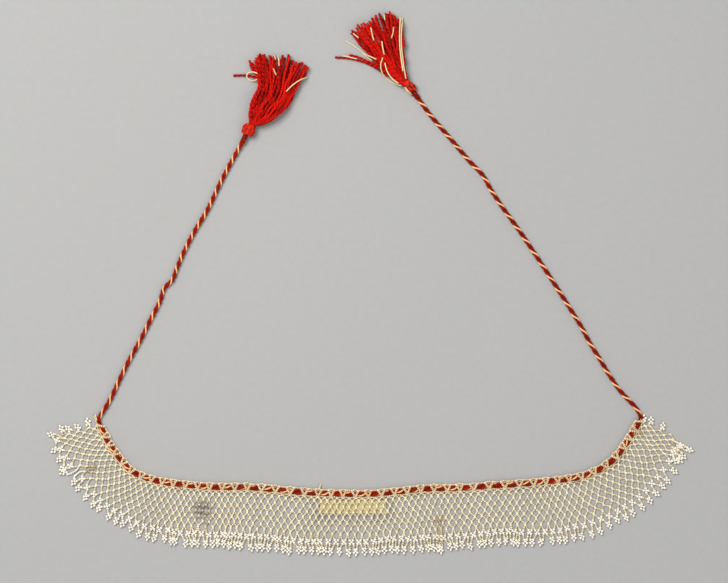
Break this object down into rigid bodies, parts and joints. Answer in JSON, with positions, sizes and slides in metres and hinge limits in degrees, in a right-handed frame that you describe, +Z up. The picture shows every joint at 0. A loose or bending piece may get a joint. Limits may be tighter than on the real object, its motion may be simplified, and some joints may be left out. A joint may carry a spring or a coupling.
{
  "type": "beaded silk collar",
  "caption": "Crescent neck collar of beaded netting with a bead fringe, gathered on a twisted silk drawstring that ends in two tassels, laid flat.",
  "frame": {"origin": "under the middle of the collar, on the surface it lies on", "axes": "+X along the collar, to the right seen from above with the tassels away from the viewer; +Y from the collar towards the tassels; +Z up, through the netting"},
  "size_m": [0.4332, 0.3646, 0.0092],
  "materials": {
    "clear_beads": "clear glass seed beads over cream thread",
    "edging_beads": "clear and white glass seed beads over cream thread",
    "white_beads": "opaque white glass seed beads",
    "red_silk": "twisted silk, soft sheen",
    "cream_tape": "plain woven tape"
  },
  "bodies": {
    "root": {"net_panel": "clear_beads", "header_band": "edging_beads", "drawstring_threaded": "red_silk", "cord_left": "red_silk", "cord_right": "red_silk", "tassel_left": "red_silk", "tassel_right": "red_silk", "fringe_hem_left": "white_beads", "fringe_hem_centre": "white_beads", "fringe_hem_right": "white_beads", "fringe_end_left": "white_beads", "fringe_end_right": "white_beads", "label": "cream_tape"}
  },
  "joints": []
}
